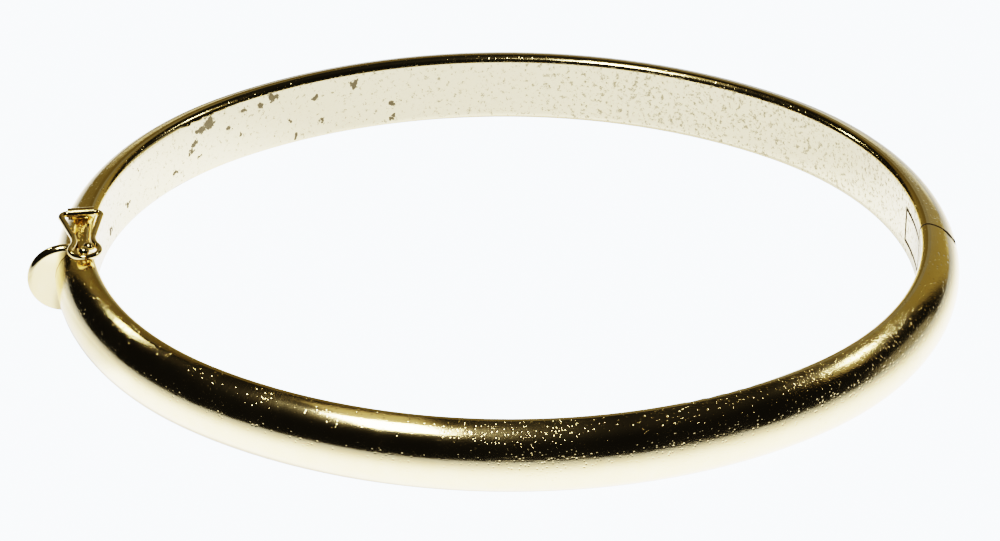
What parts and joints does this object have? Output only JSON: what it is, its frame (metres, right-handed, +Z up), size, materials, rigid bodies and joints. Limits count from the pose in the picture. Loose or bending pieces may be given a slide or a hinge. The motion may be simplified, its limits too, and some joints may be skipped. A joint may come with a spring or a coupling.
{
  "type": "hinged bangle",
  "caption": "Oval hollow half-round bangle in two halves that turn on a hidden hinge, shut with a push-tab snap and are held by a figure-eight safety catch.",
  "frame": {"origin": "middle of the whole part's box seen from above, on the plane that the bangle rests on", "axes": "+X towards the hinge along the oval's length, +Y towards the back half, +Z up, along the wearer's arm"},
  "size_m": [0.0676, 0.0578, 0.0063],
  "materials": {
    "gold": "polished yellow metal, finely scratched by wear",
    "pin_steel": "drawn wire"
  },
  "bodies": {
    "back": {"back_half": "gold", "hinge_pin": "pin_steel"},
    "front": {"front_half": "gold"},
    "tab": {"thumb_tab": "gold"},
    "catch": {"safety_catch": "gold"}
  },
  "joints": [
    {"name": "bangle_hinge", "type": "hinge", "parent": "back", "child": "front", "pos_m": [0.03267, 0, 0.00275], "axis": [0, 0, 1], "range_deg": [0, 50]},
    {"name": "tab_press", "type": "hinge", "parent": "back", "child": "tab", "pos_m": [-0.02921, -0.00903, 0.00275], "axis": [0, 0, -1], "range_deg": [0, 3], "stiffness_Nm_per_rad": 0.05},
    {"name": "catch_swing", "type": "hinge", "parent": "back", "child": "catch", "pos_m": [-0.03012, 0.00094, 0.00583], "axis": [-0.9914, -0.1305, 0], "range_deg": [0, 170]}
  ]
}
